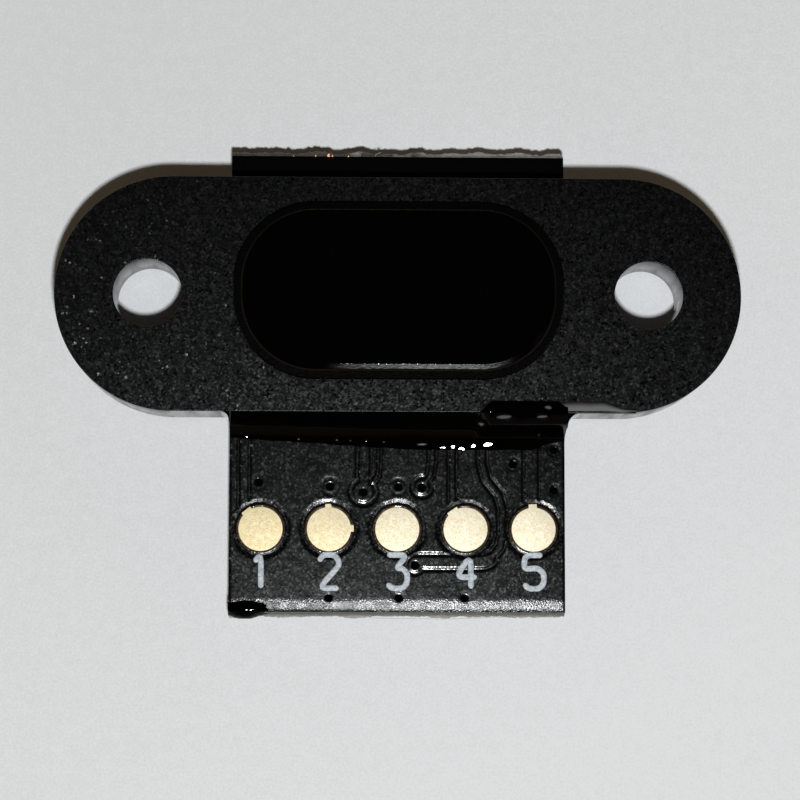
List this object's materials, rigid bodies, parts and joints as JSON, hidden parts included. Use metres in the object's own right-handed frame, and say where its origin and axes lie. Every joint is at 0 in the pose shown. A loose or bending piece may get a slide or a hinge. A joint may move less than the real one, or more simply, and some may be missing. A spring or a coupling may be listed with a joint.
{
  "type": "time-of-flight distance sensor module",
  "caption": "Small laser ranging module: black two-ear housing with an infrared-pass window, on a circuit board whose tail carries round gold pads.",
  "frame": {"origin": "midway between the two screw holes, on the rear face of the housing's ears", "axes": "+Z is the sensing direction, out of the window; +X runs from one screw hole to the other; -Y is where the board's tail points"},
  "size_m": [0.02, 0.014, 0.0028],
  "materials": {
    "housing_plastic": "fine spark-textured black moulding",
    "window_filter": "polished black infrared-pass plastic",
    "adhesive": "soft black adhesive film",
    "board_laminate": "glass-fibre laminate with snapped edges",
    "solder_mask": "glossy black solder mask",
    "gold_plate": "gold-plated copper",
    "copper": "bare copper",
    "ink": "white marking ink",
    "glue": "glossy black epoxy",
    "solder": "bright tin solder",
    "tin_plate": "matte tin plating",
    "chip_plastic": "black moulding compound",
    "chip_substrate": "dark laminate",
    "silicon": "polished silicon",
    "filter_glass": "coated infrared-pass glass",
    "capacitor_ceramic": "tan sintered ceramic",
    "resistor_ceramic": "white alumina",
    "resistor_glaze": "black overglaze",
    "ferrite": "dark grey ferrite"
  },
  "bodies": {
    "root": {"housing": "housing_plastic", "window": "window_filter", "window_adhesive": "adhesive", "circuit_board": "board_laminate", "front_solder_mask": "solder_mask", "rear_solder_mask": "solder_mask", "test_pads": "gold_plate", "wire_pads": "gold_plate", "component_lands": "gold_plate", "vias": "copper", "front_ink": "ink", "rear_ink": "ink", "glue_bead": "glue", "sensor_solder": "solder", "sensor_substrate": "chip_substrate", "sensor_lid": "chip_plastic", "receiver_die": "silicon", "laser_diode": "silicon", "receiver_filter": "filter_glass", "bond_wires": "gold_plate", "microcontroller_body": "chip_plastic", "microcontroller_terminals": "tin_plate", "regulator_body": "chip_plastic", "regulator_leads": "tin_plate", "level_shifter_body": "chip_plastic", "level_shifter_leads": "tin_plate", "bulk_capacitor_bodies": "capacitor_ceramic", "bulk_capacitor_end_caps": "tin_plate", "small_capacitor_bodies": "capacitor_ceramic", "small_capacitor_end_caps": "tin_plate", "resistor_bodies": "resistor_ceramic", "resistor_glaze": "resistor_glaze", "resistor_end_caps": "tin_plate", "ferrite_body": "ferrite", "ferrite_end_caps": "tin_plate", "solder_joints": "solder"}
  },
  "joints": []
}
